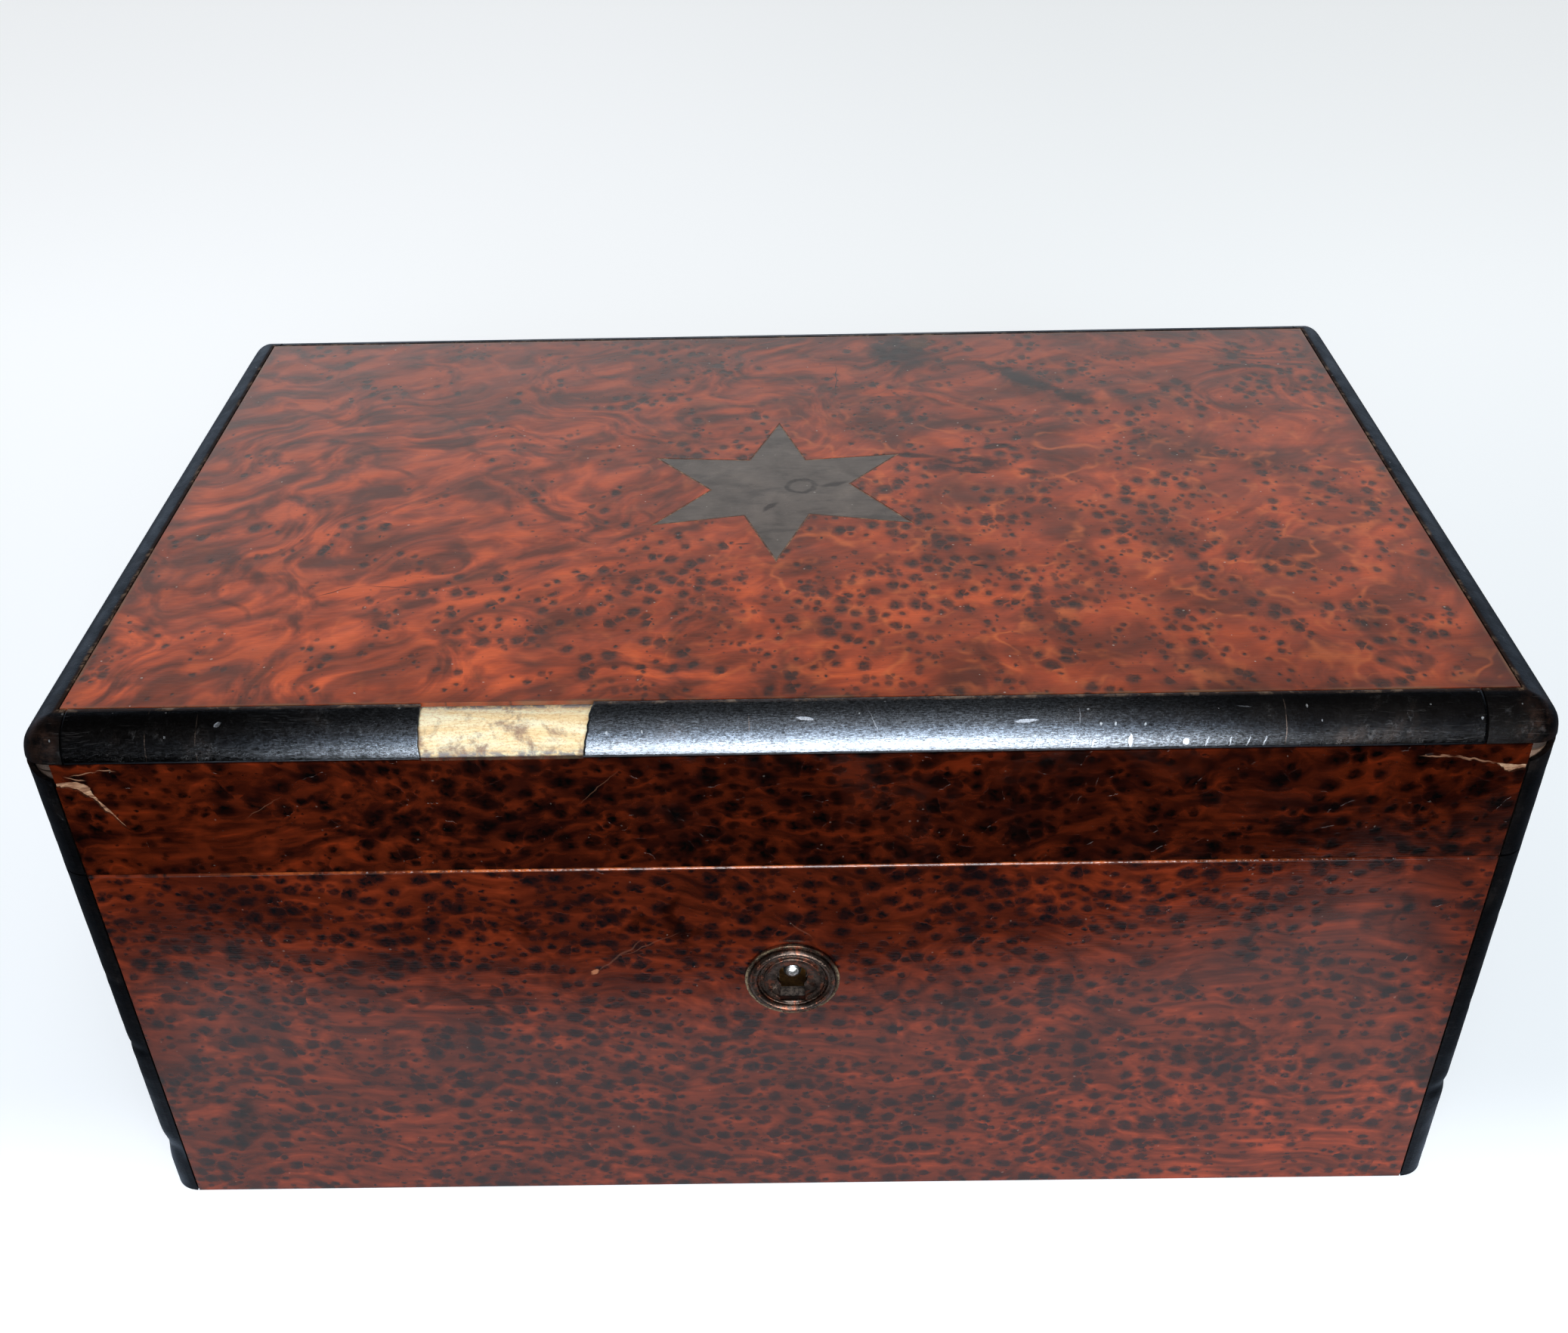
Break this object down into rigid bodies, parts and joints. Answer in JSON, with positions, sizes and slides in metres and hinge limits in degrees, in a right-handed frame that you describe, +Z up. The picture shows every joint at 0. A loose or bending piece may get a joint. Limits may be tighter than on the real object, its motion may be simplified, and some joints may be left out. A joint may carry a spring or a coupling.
{
  "type": "tea caddy",
  "caption": "Rectangular veneered wooden tea caddy with a hinged lid, a lock, black rounded edges, a star inlay and lidded tea compartments.",
  "frame": {"origin": "on the surface it stands on, under the middle of the box", "axes": "+Z up, -Y towards the front with the keyhole, +X to the right seen from the front"},
  "size_m": [0.254, 0.1566, 0.1175],
  "materials": {
    "burr_veneer": "polished red-brown burr veneer with dark eyes",
    "ebonised_veneer": "black stained veneer, polished, scuffed",
    "star_veneer": "dark grey-brown stained veneer, polished",
    "softwood": "pale bare softwood with old glue",
    "lining_wood": "stained hardwood, satin",
    "inner_lid_wood": "polished hardwood",
    "knob_wood": "turned black wood, polished",
    "tinfoil": "dull grey tin-lead foil on a thin metal box",
    "velvet": "short-pile cloth on card",
    "dark_bronze": "dark patinated turned metal with worn brass edges",
    "brass": "aged brass",
    "steel": "worn bright steel"
  },
  "bodies": {
    "case": {"back_board": "softwood", "back_lining": "lining_wood", "back_veneer": "burr_veneer", "bottom_board": "softwood", "corner_strip_back_left": "ebonised_veneer", "corner_strip_back_right": "ebonised_veneer", "corner_strip_front_left": "ebonised_veneer", "corner_strip_front_right": "ebonised_veneer", "escutcheon": "dark_bronze", "front_board": "softwood", "front_lining": "lining_wood", "front_veneer": "burr_veneer", "hinge_leaf_case_left": "brass", "hinge_leaf_case_right": "brass", "hinge_pin_left": "steel", "hinge_pin_right": "steel", "left_board": "softwood", "left_lining": "lining_wood", "left_veneer": "burr_veneer", "lock_case": "brass", "lock_pin": "steel", "partition": "lining_wood", "right_board": "softwood", "right_lining": "lining_wood", "right_veneer": "burr_veneer", "tea_liner_left": "tinfoil", "tea_liner_right": "tinfoil"},
    "lid": {"edge_band_back": "ebonised_veneer", "edge_band_front_left": "ebonised_veneer", "edge_band_front_right": "ebonised_veneer", "edge_band_left": "ebonised_veneer", "edge_band_right": "ebonised_veneer", "hinge_leaf_lid_left": "brass", "hinge_leaf_lid_right": "brass", "lid_back_board": "softwood", "lid_back_veneer": "burr_veneer", "lid_corner_strip_back_left": "ebonised_veneer", "lid_corner_strip_back_right": "ebonised_veneer", "lid_corner_strip_front_left": "ebonised_veneer", "lid_corner_strip_front_right": "ebonised_veneer", "lid_front_board": "softwood", "lid_front_veneer": "burr_veneer", "lid_left_board": "softwood", "lid_left_veneer": "burr_veneer", "lid_lining": "velvet", "lid_plate": "brass", "lid_right_board": "softwood", "lid_right_veneer": "burr_veneer", "lid_top_board": "softwood", "star_inlay": "star_veneer", "top_veneer": "burr_veneer"},
    "bolt": {"lock_bolt": "brass"},
    "inner_lid_left": {"inner_knob_left": "knob_wood", "inner_lid_left": "inner_lid_wood"},
    "inner_lid_right": {"inner_knob_right": "knob_wood", "inner_lid_right": "inner_lid_wood"}
  },
  "joints": [
    {"name": "lid_hinge", "type": "hinge", "parent": "case", "child": "lid", "pos_m": [0, 0.0755, 0.08645], "axis": [-1, 0, 0], "range_deg": [0, 100]},
    {"name": "bolt_throw", "type": "slide", "parent": "case", "child": "bolt", "axis": [1, 0, 0], "range_m": [0, 0.004]},
    {"name": "inner_lid_left_lift", "type": "slide", "parent": "case", "child": "inner_lid_left", "axis": [0, 0, 1], "range_m": [0, 0.014]},
    {"name": "inner_lid_right_lift", "type": "slide", "parent": "case", "child": "inner_lid_right", "axis": [0, 0, 1], "range_m": [0, 0.014]}
  ]
}
